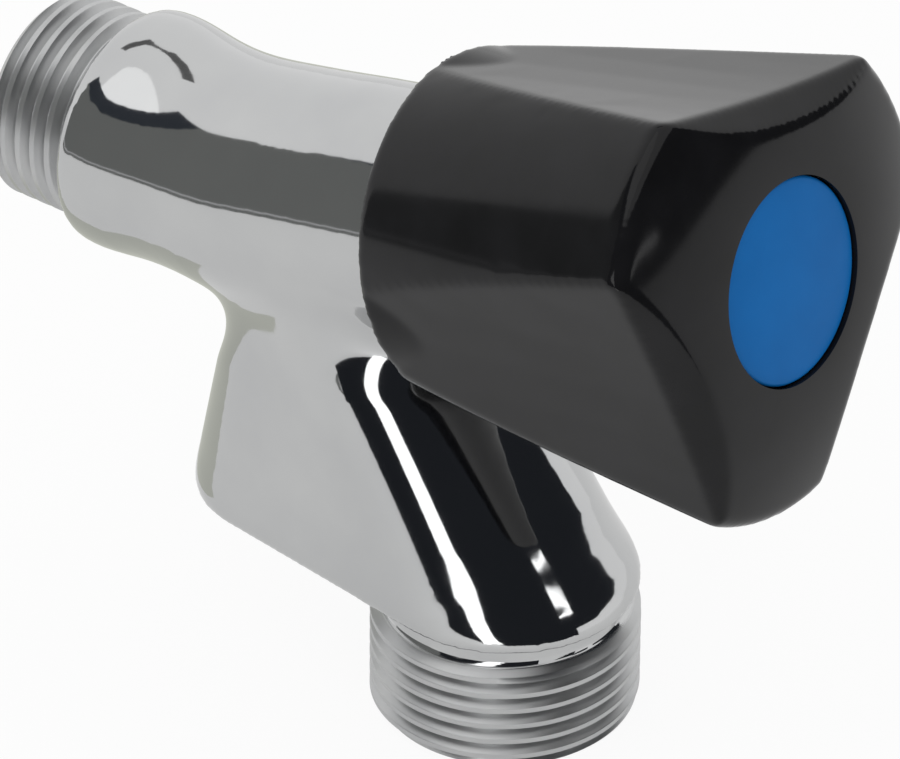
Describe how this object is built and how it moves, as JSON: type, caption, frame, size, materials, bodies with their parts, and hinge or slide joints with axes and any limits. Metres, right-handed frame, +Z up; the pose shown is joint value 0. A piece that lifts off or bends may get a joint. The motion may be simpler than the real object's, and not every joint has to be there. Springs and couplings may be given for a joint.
{
  "type": "washing machine valve",
  "caption": "Chrome-plated wall valve for a washing machine hose: threaded inlet at the back, threaded outlet below a slanted spout, and a three-lobed black knob with a blue disc.",
  "frame": {"origin": "centre of the inlet's shoulder, where the inlet thread meets the boss, on the inlet axis", "axes": "+Z up; the inlet thread points along -X; the outlet points down along -Z; the knob faces +X, tilted up by 12.3 degrees"},
  "size_m": [0.0912, 0.0452, 0.0814],
  "materials": {
    "chrome_plate": "polished chrome plating on cast brass",
    "bare_brass": "turned, unplated",
    "black_plastic": "glossy moulded",
    "blue_plastic": "satin moulded",
    "zinc_steel": "zinc-plated",
    "black_rubber": "matt",
    "white_plastic": "low-friction washer",
    "fibre_seal": "red fibre ring"
  },
  "bodies": {
    "body": {"valve_body": "chrome_plate", "bonnet": "bare_brass", "bonnet_gasket": "fibre_seal"},
    "knob_group": {"knob": "black_plastic", "knob_screw": "zinc_steel", "colour_disc": "blue_plastic", "spindle": "bare_brass", "spindle_oring_lower": "black_rubber", "spindle_oring_upper": "black_rubber", "thrust_washer": "white_plastic", "spindle_clip": "zinc_steel"},
    "plunger_group": {"plunger": "bare_brass", "plunger_oring": "black_rubber", "seat_washer": "black_rubber", "washer_nut": "bare_brass"}
  },
  "joints": [
    {"name": "knob_turn", "type": "hinge", "parent": "body", "child": "knob_group", "pos_m": [0.0163, 0, 0], "axis": [0.977, 0, 0.213], "range_deg": [0, 900]},
    {"name": "plunger_slide", "type": "slide", "parent": "body", "child": "plunger_group", "axis": [0.977, 0, 0.213], "range_m": [0, 0.005]}
  ],
  "couplings": [
    {"joint": "plunger_slide", "follows": "knob_turn", "m_per_rad": 0.0003183}
  ]
}
